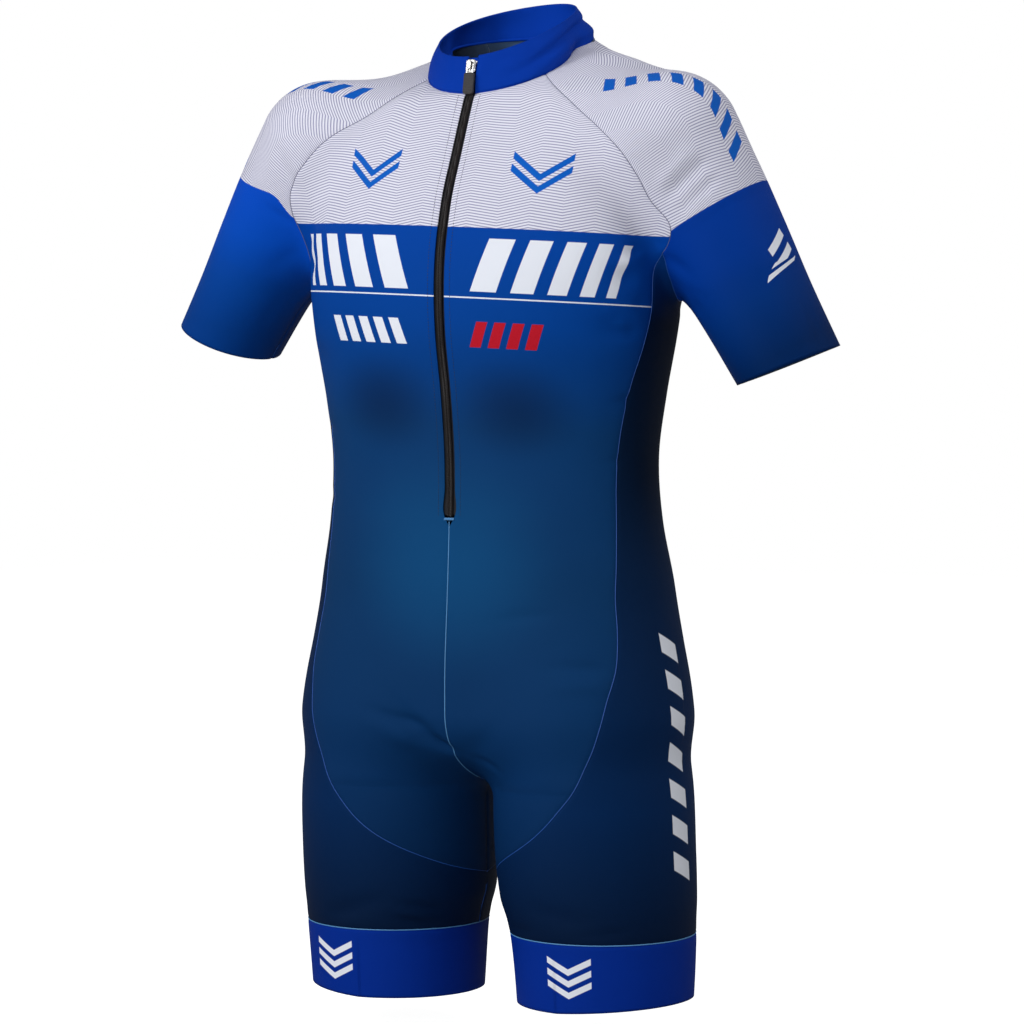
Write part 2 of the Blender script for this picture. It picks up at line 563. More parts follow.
# %% Folds
# Middle, direction, half length, half width and depth of each trough; a negative depth is a ridge
FOLDS = np.array([
    (-24, -150, -648, 0.62, 0, -0.78, 46, 9, 4), (30, -148, -655, -0.7, 0, -0.7, 34, 11, 2),
    (176, -110, -214, -0.96, -0.2, 0.12, 34, 9, 3), (160, -112, -262, -0.95, -0.2, 0.1, 40, 11, 2.5),
    (-176, -112, -196, 0.9, -0.2, 0.3, 32, 10, 3), (-150, -110, -282, 0.95, -0.2, 0.2, 40, 12, 2),
    (150, 60, -210, -0.9, 0.3, 0.2, 44, 12, 3), (-150, 60, -214, 0.9, 0.3, 0.25, 42, 12, 3),
    (0, 62, -352, 1, 0, 0.06, 90, 14, 3.5), (16, 58, -398, 1, 0, -0.08, 80, 13, 3),
    (44, 76, -640, -0.6, 0, -0.8, 46, 12, 3), (-44, 76, -642, 0.6, 0, -0.8, 46, 12, 3),
    (-110, -128, -812, 0.96, 0, 0.28, 52, 8, 2), (110, -128, -806, 0.97, 0, -0.2, 44, 8, 1.5),
    # finer ones, for the cloth alone
    (196, -98, -238, -0.97, -0.15, 0.1, 26, 5, 1.4), (190, -100, -330, -0.97, -0.2, 0.05, 24, 6, 1.3),
    (-120, -136, -820, 0.97, 0, 0.2, 40, 3.5, 0.9), (-84, -142, -812, 0.95, 0, 0.3, 26, 3, -0.6),
    (20, -40, -818, 0.2, 0.9, 0.15, 26, 5, 2.2), (22, -40, -808, 0.2, 0.9, 0.1, 24, 5, -1.6),
    (60, 66, -372, 0.98, 0, 0.12, 60, 6, 1.2), (-70, 66, -378, 0.98, 0, -0.1, 54, 6, 1.1),
    (-40, 64, -416, 0.97, 0, 0.15, 60, 7, 1.2), (96, 90, -690, -0.95, 0, 0.25, 50, 7, 1.4),
    (-100, 90, -694, 0.95, 0, 0.25, 50, 7, 1.4), (250, 14, -168, 0.5, 0.5, -0.6, 40, 8, 1.6),
    (-254, 14, -160, -0.5, 0.5, -0.6, 40, 8, 1.6), (176, 20, -236, -0.4, 0.9, 0.15, 36, 6, 1.5),
    (-182, 20, -222, 0.4, 0.9, 0.15, 36, 6, 1.5),
    # groin
    (-50, -149, -628, 0.95, 0, -0.25, 26, 5.5, 3.8), (-8, -138, -653, 0.68, 0.15, -0.72, 28, 5.0, 5.0),
    (-44, -150, -648, 0.9, 0, -0.43, 32, 10, -2.4), (34, -130, -668, 0.9, 0, -0.4, 14, 4, 2.2),
    # left hip and waist
    (135, -130, -576, 0.95, 0.3, 0, 34, 6, 1.7), (137, -132, -593, 0.95, 0.3, 0.05, 34, 7, -1.4),
    (78, -138, -529, 0.98, 0.1, 0.14, 34, 6, 1.3), (158, -92, -327, 0.85, 0.5, 0.1, 18, 4, 1.4),
    (150, -91, -383, 0.85, 0.5, 0.1, 18, 4, 1.3), (-150, -92, -352, 0.85, -0.5, -0.1, 22, 5, 1.4),
    (-154, -84, -420, 0.85, -0.5, -0.1, 24, 6, 1.4),
    # beside the armpits
    (172, -100, -187, 0.92, 0.3, 0.05, 22, 5, 2.6), (166, -106, -200, 0.92, 0.3, 0.05, 22, 5, -2.0),
    (166, -96, -264, 0.9, 0.35, -0.1, 26, 5, 2.6), (160, -106, -256, 0.9, 0.35, -0.1, 24, 4, -1.6),
    (222, -92, -122, 0.68, 0.25, 0.7, 34, 6, 2.6), (212, -97, -112, 0.66, 0.2, 0.7, 30, 6, -1.8),
    (234, -86, -134, 0.7, 0.2, 0.68, 28, 5, 2.0), (-192, -106, -112, 0.35, 0, -0.94, 34, 6, 2.2),
    (-180, -108, -104, 0.35, 0, -0.94, 30, 5, -1.2), (-206, -104, -150, 0.8, 0.1, -0.6, 22, 5, 1.4),
    # above the cuffs
    (-48, -112, -826, 0.7, 0.65, -0.2, 30, 3.8, 2.2), (-50, -115, -818, 0.7, 0.65, -0.2, 28, 3.6, -1.7),
    (-42, -104, -811, 0.7, 0.65, -0.2, 26, 3.8, 1.9), (60, -118, -826, -0.8, 0.5, -0.1, 24, 3.8, 1.8),
    (150, -118, -822, 0.9, 0.4, 0.1, 30, 4, 1.0), (110, 40, -818, 0.95, -0.1, 0.2, 36, 4, 1.3),
    (-110, 40, -822, 0.95, 0.1, -0.2, 36, 4, 1.3),
], float)
OUTWARD_SHARE = 0.25


def fold_depth(p, out):
    """Sum over the folds of depth * exp(-(along/length)^2 - (across/width)^2). The part of the
    distance that points out of the cloth counts for a quarter, as a fold follows the surface."""
    depth = np.zeros(p.shape[:-1])
    for row in FOLDS:
        along_way = unit(row[3:6])
        offset = p - row[:3]
        offset = offset - (1 - OUTWARD_SHARE) * dot(offset, out)[..., None] * out
        along = dot(offset, along_way)
        across2 = dot(offset, offset) - along ** 2
        depth += row[8] * np.exp(-((along / row[6]) ** 2) - across2 / row[7] ** 2)
    return depth


def from_edge(grid, axis, end):
    """Distance of each point from one edge of its panel, along the grid."""
    step = np.linalg.norm(np.diff(grid, axis=axis), axis=-1)
    step = np.flip(step, axis) if end else step
    pad = [(1, 0) if k == axis else (0, 0) for k in (0, 1)]
    run = np.pad(np.cumsum(step, axis), pad)
    return np.flip(run, axis) if end else run


SEAM_DIP, SEAM_WIDTH, HALF_GAP = 0.7, 2.0, 0.15


def sewn_cloth(grid, edges):
    """Outer face of a panel: folds and seam dips taken off the body along its slope, then the sewn
    edges drawn back by half the seam's gap. edges lists (axis, end) of each sewn edge."""
    out = unit(gradient(grid))
    depth = fold_depth(grid, out)
    for axis, end in edges:
        depth += SEAM_DIP * np.exp(-(from_edge(grid, axis, end) / SEAM_WIDTH) ** 2)
    face = grid - out * depth[..., None]
    for axis, end in edges:
        rows = np.moveaxis(face, axis, 0)
        edge, inner = (-1, -2) if end else (0, 1)
        way = rows[inner] - rows[edge]
        length = np.linalg.norm(way, axis=-1, keepdims=True)
        rows[edge] += way * np.minimum(HALF_GAP / np.maximum(length, 1e-9), 0.4)
    return face, out


TOP, BOTTOM, FIRST, LAST = (0, 0), (0, 1), (1, 0), (1, 1)
EDGES = {"front": (TOP, FIRST, LAST), "back": (TOP, FIRST, LAST),
         "side_leg": (TOP, BOTTOM, FIRST, LAST), "sleeve": (TOP, FIRST, LAST), "leg_cuff": (TOP,)}


def kind_of(name):
    return name.rsplit("_", 1)[0]


cloth = {name: sewn_cloth(grid, EDGES[kind_of(name)]) for name, grid in shapes.items()}
deepest = max(float(fold_depth(shapes[name], cloth[name][1]).max()) for name in cloth)
print(f"deepest fold {deepest:.1f} mm")

# %% [markdown]
# ## Coordinates for the print
# A sublimated print is made on flat cloth before it is cut, so its pattern follows the cloth and not the
# room. Every panel gets its own flat coordinates in metres, u across and v up, measured along the
# surface. One more number says how far a point lies above the line where white gives way to blue.

# %% Flat coordinates
def body_flat(face):
    """u is the distance along the row from the middle, v the distance up the panel's own profile."""
    u = from_edge(face, 1, False)
    step = np.diff(face, axis=0)
    rise = np.hypot(step[..., 1], step[..., 2]) * -np.sign(step[..., 2])
    v = -np.pad(np.cumsum(rise, 0), ((1, 0), (0, 0)))
    level = np.argmin(np.abs(face[..., 2] - SIDE_TOP), axis=0)
    return u, v - v[level, np.arange(v.shape[1])]


def sleeve_flat(face):
    """v runs down the top of the sleeve from the neck, u across from the top line."""
    u = from_edge(face, 1, False)
    middle = face.shape[1] // 2
    inner = slice(middle // 3, middle + 1)
    step = np.linalg.norm(np.diff(face[:, inner], axis=0), axis=-1).mean(1)
    v = -np.concatenate([[0], np.cumsum(step)])[:, None] + 0 * u
    return u - u[:, middle:middle + 1], v


def level_flat(face):
    """u is the distance round from the panel's middle column, v the height."""
    u = from_edge(face, 1, False)
    middle = face.shape[1] // 2
    return u - u[:, middle:middle + 1], face[..., 2]


BLUE_TOP, BLUE_SLANT, DIP_WIDTH = -163.5, 0.057, 16
# A point on the plane, its direction up, and how far the line dips at the front edge
BLUE_PLANES = {"sleeve_left": ((204, -95, -171), (-0.487, -0.134, 0.863), 0),
               "sleeve_right": ((-204, -107, -127), (0.28, -0.134, 0.95), 18)}


def above_blue(name, p):
    """Signed distance in millimetres above the line between white and blue: on a sleeve from a slanted
    plane, which dips at the right armpit, and on the body from a nearly level one."""
    if name not in BLUE_PLANES:
        return p[..., 2] - BLUE_TOP + BLUE_SLANT * p[..., 0]
    point, normal, dip = BLUE_PLANES[name]
    return (dot(p - np.array(point), np.array(normal))
            + dip * np.exp(-(from_edge(p, 1, False) / DIP_WIDTH) ** 2))


FLAT = {"front": body_flat, "back": body_flat, "sleeve": sleeve_flat,
        "side_leg": level_flat, "leg_cuff": level_flat}

# %% [markdown]
# ## Meshes
# A panel becomes a mesh straight from its grid: four neighbouring points make a face. Solidify then gives
# the cloth its thickness inwards, and the inner side its own finish. The alternative, modelling both
# sides, would double the work for a wall that is the same everywhere.

# %% Mesh helpers
def new_object(name, vertices, faces, smooth=True):
    mesh = bpy.data.meshes.new(name)
    mesh.from_pydata(np.asarray(vertices) * MM, [], faces)
    mesh.polygons.foreach_set("use_smooth", np.full(len(mesh.polygons), smooth))
    obj = bpy.data.objects.new(name, mesh)
    bpy.context.scene.collection.objects.link(obj)
    return obj


def grid_faces(rows, columns, closed=False):
    """Quads between neighbouring points; a closed band joins its last column to its first."""
    index = np.arange(rows * columns).reshape(rows, columns)
    if closed:
        index = np.hstack([index, index[:, :1]])
    a, b, c, d = index[:-1, :-1], index[1:, :-1], index[1:, 1:], index[:-1, 1:]
    return np.stack([a, b, c, d], -1).reshape(-1, 4)


def corner_vertices(mesh):
    """The vertex at every corner of every face."""
    corner = np.empty(len(mesh.loops), int)
    mesh.loops.foreach_get("vertex_index", corner)
    return corner


def cloth_object(name, face, out, flat, blue, closed=False):
    """Mesh of one panel with its flat coordinates as a UV map and the blue line as an attribute."""
    rows, columns = face.shape[:2]
    quads = grid_faces(rows, columns, closed)
    flat_face = face.reshape(-1, 3)
    a, b, c = (flat_face[quads[:, k]] for k in (0, 1, 2))
    turned = dot(np.cross(b - a, c - a), out.reshape(-1, 3)[quads[:, 0]]).sum() < 0
    obj = new_object(name, flat_face, quads[:, ::-1] if turned else quads)
    mesh = obj.data
    uv = np.stack([flat[0].ravel(), flat[1].ravel()], -1)[corner_vertices(mesh)] * MM
    if closed:
        start, turn = uv[:, 0].min(), np.ptp(uv[:, 0])
        per_face = uv[:, 0].reshape(-1, 4)
        wraps = np.ptp(per_face, axis=1, keepdims=True) > turn / 2
        late = wraps & (per_face < start + turn / 2)
        uv[:, 0] = (per_face + late * turn * columns / (columns - 1)).ravel()
    mesh.uv_layers.new(name="flat").data.foreach_set("uv", uv.ravel())
    layer = mesh.attributes.new("above_blue", "FLOAT", "POINT")
    layer.data.foreach_set("value", (blue * MM).ravel())
    return obj


def thicken(obj, thickness, inner):
    """Cloth of even thickness under its outer face; inner is the material slot of the inside."""
    wall = obj.modifiers.new("cloth", "SOLIDIFY")
    wall.thickness = thickness * MM
    wall.offset = -1
    wall.use_even_offset = False
    wall.material_offset = inner
    return obj


# %% Cloth panels
CLOTH = 1.2
suit_pieces = {}
for name, (face, out) in cloth.items():
    kind = kind_of(name)
    flat = FLAT[kind](face)
    obj = cloth_object(f"cloth_{name}", face, out, flat, above_blue(name, shapes[name]),
                       closed=kind == "leg_cuff")
    suit_pieces[name] = thicken(obj, CLOTH, 1)
    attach(obj, "suit")
    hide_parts(name)
print(sum(len(o.data.polygons) for o in suit_pieces.values()), "faces on the cloth's outer side")

# %% [markdown]
# ## Collar
# The collar is a low stand of doubled knit. It follows the neck seam below and a smaller, tilted oval
# above, and its top edge is a fold, so it is round. The whole section, outside, rolled top and inside, is
# carried round the neck as one closed loop of points.

# %% Collar
RIM_HALF, RIM_DEPTH, RIM_CENTRE_Y, RIM_TILT, COLLAR_ROLL, COLLAR_CLOTH = 66, 76, -14, 4, 2, 2.0
SEAM_LIFT = 0.15
COLLAR_ROWS, RIM_POINTS = 17, 5
# Angles round the neck, in radians from the front to the left, and shares of the collar's height
SLACK_START, SLACK_RISE, SLACK_END, SLACK_FALL = 0.25, 1.1, 2.7, 0.7
CREASE_START, CREASE_RUN, CREASE_LOW, CREASE_HIGH = 0.3, 1.2, 0.28, 0.64
# The slack left side: place above the crease and width as shares of the height, height in mm
SLACK = ((-0.3, 0.17, 3.0), (0.0, 0.1, -2.4), (0.22, 0.14, 0.8))
# Dents: angle and its half width, share and how it leans with the angle, its half width, depth in mm
DENTS = ((0.27, 0.08, 0.5, 0, 0.24, 1.3), (-0.3, 0.09, 0.4, -1, 0.3, 1.1),
         (0.45, 0.1, 0.75, 0, 0.12, 0.9))


def rim_height(angle):
    """Height of the collar's fold, likewise."""
    return 36.8 - 32.5 * np.cos(angle) - 2.3 * np.cos(2 * angle)


def collar_outside(seam, share):
    """Points between the neck seam, share 0, and the rim, share 1, bowed out by a sine. On the left
    the stand has given way: a crease climbs from the front to the side, with a bulge below it. Each
    bulge and dent is height * exp(-(distance / width)^2)."""
    share = np.asarray(share, float)
    angle = np.arctan2(seam[..., 0] / RIM_HALF, -(seam[..., 1] - RIM_CENTRE_Y) / RIM_DEPTH)
    x = RIM_HALF * np.sin(angle)
    at_zip = (np.abs(x) < ZIP_SLOT) & (seam[..., 1] < 0)
    x = np.where(at_zip, seam[..., 0], x)
    rim = np.stack([x, RIM_CENTRE_Y - RIM_DEPTH * np.cos(angle),
                    rim_height(angle) + RIM_TILT * np.sin(angle)], -1)
    outward = unit(np.stack([rim[..., 0], rim[..., 1] - RIM_CENTRE_Y, 0 * x], -1))
    slack = (smooth_step((angle - SLACK_START) / SLACK_RISE)
             * smooth_step((SLACK_END - angle) / SLACK_FALL))
    crease = mix(CREASE_LOW, CREASE_HIGH, smooth_step((angle - CREASE_START) / CREASE_RUN))
    bow = COLLAR_ROLL * np.sin(math.pi * share)
    for place, width, height in SLACK:
        bow = bow + slack * height * np.exp(-((share - crease - place) / width) ** 2)
    for centre, breadth, place, lean, width, depth in DENTS:
        off = (share - place - lean * angle) / width
        bow = bow - depth * np.exp(-((angle - centre) / breadth) ** 2 - off ** 2)
    point = mix(seam, rim, share[..., None]) + outward * bow[..., None]
    return point + np.array([0, 0, SEAM_LIFT]) * (1 - share[..., None]), outward


def ring_seam():
    """Neck seam as one line: left front to back, then right back to front."""
    half = {}
    for name in SIDES:
        rows = [shapes[f"front_{name}"][0], shapes[f"sleeve_{name}"][0],
                shapes[f"back_{name}"][0][::-1]]
        half[name] = np.vstack([rows[0], rows[1][1:], rows[2][1:]])
    return np.vstack([half["left"], half["right"][::-1][1:]])


def collar_section(seam):
    """Closed loops round the collar's wall: up the outside, over the rim, down the inside."""
    shares = np.linspace(0, 1, COLLAR_ROWS)[:, None] + np.zeros(len(seam))
    outer, outward = collar_outside(seam[None] + np.zeros((COLLAR_ROWS, 1, 1)), shares)
    outward = outward[:1]
    wall = COLLAR_CLOTH / 2
    turn = np.linspace(0, math.pi, RIM_POINTS + 2)[1:-1, None, None]
    up = np.array([0, 0, 1.0])
    rim = outer[-1] - outward * wall + outward * wall * np.cos(turn) + up * wall * np.sin(turn)
    inner = outer[::-1] - outward * COLLAR_CLOTH
    return np.concatenate([outer, rim, inner])


neck_seam = ring_seam()
section = collar_section(neck_seam)
rows, columns = section.shape[:2]
loop_faces = grid_faces(rows + 1, columns) % (rows * columns)
caps = [list(range(0, rows * columns, columns)), list(range(columns - 1, rows * columns, columns))]
collar = new_object("cloth_collar", section.reshape(-1, 3), loop_faces.tolist() + caps)


def face_outwards(obj):
    """All faces of a closed mesh turned to point out."""
    work = bmesh.new()
    work.from_mesh(obj.data)
    bmesh.ops.recalc_face_normals(work, faces=work.faces)
    work.to_mesh(obj.data)
    work.free()
    return obj


face_outwards(collar)
around = run_along(neck_seam)
ROW_PITCH = 2.4
collar_uv = np.stack(np.broadcast_arrays(around * MM, np.arange(rows)[:, None] * ROW_PITCH * MM), -1)
collar_uv = collar_uv.reshape(-1, 2)[corner_vertices(collar.data)]
collar.data.uv_layers.new(name="flat").data.foreach_set("uv", collar_uv.ravel())
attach(collar, "suit")
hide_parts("collar")
print(f"neck seam {around[-1]:.0f} mm round")

# %% [markdown]
# ## Threads and stitches
# Up close the seams are what makes a sewn thing look sewn. A thin cord of thread lies in each groove, and
# two rows of short stitches hold the zip. A thread is a small round section carried along a line; a
# stitch is one small bean, copied along the line by plain array arithmetic.

# %% Thread and stitch helpers
def lines_out(line):
    """Directions away from the body, and along the line."""
    return unit(gradient(line)), unit(np.gradient(line, axis=0))


def tube_faces(rings, sides):
    """Quads round a tube of rings, and a face on both its ends."""
    ends = [list(range(sides)), list(range((rings - 1) * sides, rings * sides))]
    return grid_faces(rings, sides, closed=True).tolist() + ends


def thread(name, line, radius, lift, sides=6):
    """Tube: circle points radius * (cos a * out + sin a * across) at every point of the line."""
    out, along = lines_out(line)
    across = np.cross(along, out)
    a = np.linspace(0, 2 * math.pi, sides, endpoint=False)[None, :, None]
    centre = (line + out * lift)[:, None]
    ring = centre + radius * (np.cos(a) * out[:, None] + np.sin(a) * across[:, None])
    return face_outwards(new_object(name, ring.reshape(-1, 3), tube_faces(len(line), sides)))


def along_line(line, pitch, start):
    """Points of the line every pitch millimetres."""
    run = run_along(line)
    at = np.arange(start, run[-1], pitch)
    return np.stack([np.interp(at, run, line[:, k]) for k in range(3)], -1)


def bean(segments=6, rings=5, pole=0.02):
    """Unit ball as rings of points round its first axis, with its faces; pole is the angle left open."""
    polar = np.linspace(pole, math.pi - pole, rings)[:, None]
    a = np.linspace(0, 2 * math.pi, segments, endpoint=False)
    ball = np.stack([np.cos(polar) + 0 * a, np.sin(polar) * np.cos(a), np.sin(polar) * np.sin(a)], -1)
    return ball.reshape(-1, 3), tube_faces(rings, segments)


def stitches(name, places, along, out, size, lift):
    """One bean at every place: half length along, half height out, half width across."""
    ball, faces = bean()
    across = np.cross(along, out)
    centre = places + out * lift
    points = (centre[:, None] + ball[None, :, :1] * size[0] * along[:, None]
              + ball[None, :, 1:2] * size[1] * out[:, None]
              + ball[None, :, 2:] * size[2] * across[:, None])
    every = [[v + k * len(ball) for v in face] for k in range(len(places)) for face in faces]
    return face_outwards(new_object(name, points.reshape(-1, 3), every))


def outer_face(line):
    """Points of a line on the body, lowered by the folds there."""
    out = unit(gradient(line))
    return line - out * fold_depth(line, out)[:, None]


# %% Topstitches beside the zip, and the bar at its lower end
STITCH_X, STITCH_PITCH, STITCH_SIZE, STITCH_LIFT = 11.5, 3.0, (0.95, 0.28, 0.3), 0.05
BAR_HALF, BAR_PITCH, BAR_DROP, BAR_DEPTH, BAR_LEAN = 4.8, 0.8, 2.6, 44, 0.25
BAR_SIZE, BAR_LIFT = (1.5, 0.5, 0.45), 0.15
threads = {}


def middle_line(x, top, bottom, step=1.5, facing=-1):
    """A line down the front or back at a fixed distance from the middle."""
    z = np.arange(top, bottom, -step)
    start = np.stack([0 * z + x, trunk(z)[:, 3], z], -1)
    return cast(start, [0, facing, 0])


neck_front = float(neck_seam[0, 2])
for name, side in SIDES.items():
    line = outer_face(middle_line(side.sign * STITCH_X, neck_front - 1.5, ZIP_BOTTOM - 1))
    places = along_line(line, STITCH_PITCH, STITCH_PITCH / 2)
    out, along = lines_out(places)
    threads[f"zip_topstitch_{name}"] = stitches(f"zip_topstitch_{name}", places, along, out,
                                                STITCH_SIZE, STITCH_LIFT)
bar_x = np.arange(-BAR_HALF, BAR_HALF + 0.1, BAR_PITCH)
bar_start = np.stack([bar_x, 0 * bar_x - BAR_DEPTH, 0 * bar_x + ZIP_BOTTOM - BAR_DROP], -1)
bar_line = outer_face(cast(bar_start, [0, -1, 0]))
bar_out, bar_along = lines_out(bar_line)
bar_up = unit(np.cross(bar_out, bar_along) + BAR_LEAN * bar_along)
threads["zip_bartack"] = stitches("zip_bartack", bar_line, bar_up, bar_out, BAR_SIZE, BAR_LIFT)

# %% Seam threads
SEAM_STEP, UNDER_SAG, LIFT_IN_GROOVE = 2.0, 3.0, -0.75 * SEAM_DIP
BINDING_RADIUS, BINDING_INSET = 1.5, 1.6


def seam_threads():
    """Name, line on the body, radius and lift of each thread that shows."""
    neck_back = float(shapes["back_left"][0, 0, 2])
    front = middle_line(0, ZIP_BOTTOM - 5, CROTCH + 3, SEAM_STEP)
    back = middle_line(0, neck_back - 2, neck_back + CROTCH + 1, SEAM_STEP, facing=1)
    share = np.linspace(0, 1, 30)[:, None]
    sagging = mix(front[-1], back[-1], share) - np.sin(math.pi * share) * [0, 0, UNDER_SAG]
    found = [("centre_front", front, 0.5, 0.1), ("centre_back", back, 0.45, 0.0),
             ("centre_under", settle(sagging), 0.45, 0.0)]
    for name in SIDES:
        sleeve, panel = shapes[f"sleeve_{name}"], shapes[f"side_leg_{name}"]
        raglan_end = int(np.argmin(np.linalg.norm(sleeve[:, 0] - panel[0, 0], axis=-1)))
        under_start = raglan_end + panel.shape[1] // 2
        found += [
            (f"raglan_front_{name}", sleeve[2:raglan_end + 1, 0], 0.28, 0.0),
            (f"raglan_back_{name}", sleeve[2:raglan_end + 1, -1], 0.28, 0.0),
            (f"underarm_{name}", panel[0], 0.4, 0.0),
            (f"sleeve_under_{name}", sleeve[under_start:-1, 0], 0.4, 0.0),
            (f"side_front_{name}", panel[2:, 0], 0.42, 0.0),
            (f"side_back_{name}", panel[2:, -1], 0.42, 0.0),
            (f"cuff_seam_{name}", panel[-1], 0.55, 0.05),
        ]
    return found


for name, line, radius, lift in seam_threads():
    keep = np.concatenate([[True], np.diff(run_along(line)) > 0.3])
    threads[f"thread_{name}"] = thread(f"thread_{name}", outer_face(line[keep]), radius,
                                       lift + LIFT_IN_GROOVE)
# A bead of collar knit binds the neck seam from inside
inward = unit(neck_seam * [-1, -1, 0] + [0, RIM_CENTRE_Y, 0])
threads["neck_binding"] = thread("neck_binding", neck_seam + inward * BINDING_INSET, BINDING_RADIUS,
                                 0.0, sides=10)
for piece in threads.values():
    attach(piece, "suit")
print(len(threads), "threads and rows of stitches")

# %% [markdown]
# ## Zip
# The zip is a fine nylon coil: a strip of tiny loops on each tape that hook into one another. The loops
# are too small to model as a real spiral, so each becomes a bean lying across, in two columns that meet in
# the middle. A small flap of collar knit stands behind the zip's upper end and keeps it off the skin.
# The CAD slider and pull keep their shape and get their sharp edges broken by a bevel.

# %% Coil
COIL_PITCH, COIL_X, BEAN_SIZE, BEAN_LIFT = 1.5, 1.35, (1.35, 0.6, 0.6), -0.35
STRIP_ACROSS, STRIP_DEPTH, STRIP_CROWN, STRIP_WALL = (-2.8, -1.4, 0, 1.4, 2.8), 1.0, 0.25, 1.4
AHEAD = np.array([0, -1.0, 0])


def zip_line(x=0.1, top=0.8, count=12):
    """The zip's own line: over the collar to the slider, then down the front."""
    seam = neck_front_point(x) + np.zeros((count, 1))
    upper, _ = collar_outside(seam, np.linspace(top, 0, count))
    return np.vstack([upper[:-1], middle_line(x, neck_front - 1, ZIP_BOTTOM)])


coils = []
for sign in (1, -1):
    line = zip_line()
    line[:, 0] = sign * COIL_X
    places = along_line(line, COIL_PITCH, COIL_PITCH * (0.75 if sign > 0 else 0.25))
    along = unit(np.gradient(places, axis=0))
    across = np.array([1.0, 0, 0]) + 0 * places
    out = unit(np.cross(along, across))
    out = out * -np.sign(out[:, 1:2])
    coils.append(stitches(f"zip_coil_{'left' if sign > 0 else 'right'}", places, across, out,
                          BEAN_SIZE, BEAN_LIFT))
strip_shape = [[x, STRIP_DEPTH + STRIP_CROWN * abs(x), 0] for x in STRIP_ACROSS]
strip = zip_line()[:, None] + np.array(strip_shape)
bed = cloth_object("zip_coil_bed", strip, 0 * strip + AHEAD, level_flat(strip), 0 * strip[..., 0])
thicken(bed, STRIP_WALL, 0)
for piece in (*coils, bed):
    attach(piece, "suit")
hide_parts("zip_coil")

# %% Guard behind the zip's upper end
GUARD_INSET, GUARD_CURVE, GUARD_WAVE, GUARD_WALL = 5.0, 0.3, 0.6, 1.0


def zip_guard(half=9.5, rows=24, columns=13):
    """A small flap of collar knit: the collar's front carried across the opening, a little inside, and
    waved by a sine up its height."""
    x = np.linspace(-half, half, columns)
    seam = np.broadcast_to(neck_front_point(0.0), (rows, columns, 3)).copy()
    share = np.linspace(-0.1, 0.985, rows)[:, None] + 0 * x
    face, _ = collar_outside(seam, share)
    face[..., 0] = x
    face[..., 1] += GUARD_INSET + GUARD_CURVE * (x / half) ** 2 - GUARD_WAVE * np.sin(share * 7)
    return face


flap = zip_guard()
guard = cloth_object("zip_guard", flap, 0 * flap + AHEAD, level_flat(flap), 0 * flap[..., 0])
thicken(guard, GUARD_WALL, 0)
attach(guard, "suit")

# %% Slider, pull and grip with broken edges
def broken_edges(node, name, width, body, flat_angle=math.radians(4), sharp=math.radians(40)):
    """A copy of a CAD node, its loose triangles joined, with a small bevel on its sharp edges."""
    source = bpy.data.objects[node]
    obj = bpy.data.objects.new(name, source.data.copy())
    bpy.context.scene.collection.objects.link(obj)
    obj.matrix_world = source.matrix_world.copy()
    work = bmesh.new()
    work.from_mesh(obj.data)
    bmesh.ops.remove_doubles(work, verts=work.verts, dist=1e-6)
    bmesh.ops.dissolve_limit(work, angle_limit=flat_angle, verts=work.verts, edges=work.edges)
    bmesh.ops.recalc_face_normals(work, faces=work.faces)
    work.to_mesh(obj.data)
    work.free()
    bevel = obj.modifiers.new("edges", "BEVEL")
    bevel.width, bevel.segments, bevel.limit_method = width * MM, 2, "ANGLE"
    bevel.angle_limit = sharp
    obj.data.polygons.foreach_set("use_smooth", np.full(len(obj.data.polygons), True))
    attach(obj, body)
    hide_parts(node)
    return obj


slider = broken_edges("zip_slider", "slider_body", 0.3, "suit")
pull = broken_edges("zip_pull", "pull_link", 0.22, "pull")
grip = broken_edges("zip_pull_grip", "pull_grip", 0.6, "pull")

# %% [markdown]
# ## Materials as formulas
# The print is too fine for geometry and must stay sharp at any distance, so it is worked out by the
# material itself. Math nodes can do that, but a wall of nodes is hard to read. A tiny helper lets ordinary
# arithmetic build them: adding two wires adds an Add node.

# %% Wires
def adds(operation, swapped=False):
    """A method that adds one Math node, with its values the other way round if swapped."""
    def method(self, *others):
        values = (self, *others)
        return self.node(operation, *(values[::-1] if swapped else values))
    return method


class Wire:
    """A number at every point of a surface. Arithmetic on it adds Math nodes to its material."""

    def __init__(self, tree, socket):
        self.tree, self.socket = tree, socket

    def node(self, operation, *values):
        made = self.tree.nodes.new("ShaderNodeMath")
        made.operation = operation
        for k, value in enumerate(values):
            if isinstance(value, Wire):
                self.tree.links.new(value.socket, made.inputs[k])
            else:
                made.inputs[k].default_value = value
        return Wire(self.tree, made.outputs[0])

    __add__, __sub__, __rsub__ = adds("ADD"), adds("SUBTRACT"), adds("SUBTRACT", swapped=True)
    __mul__, __truediv__ = adds("MULTIPLY"), adds("DIVIDE")
    abs, fract, sine = adds("ABSOLUTE"), adds("FRACT"), adds("SINE")
    least, most = adds("MINIMUM"), adds("MAXIMUM")

    def over(self, edge, soft):
        """0 below the edge, 1 above it, with a ramp of the soft width between."""
        ramp = (self - edge) / soft + 0.5
        return ramp.most(0.0).least(1.0)

    def within(self, low, high, soft):
        """1 between low and high."""
        return self.over(low, soft).least((0 - self).over(-high, soft))


def most_of(wires):
    """The largest of several wires."""
    total, *rest = wires
    for wire in rest:
        total = total.most(wire)
    return total


def scaled(colour, share):
    """A colour made darker or lighter, none of its parts above 1."""
    return (*(min(1.0, share * c) for c in colour[:3]), 1.0)


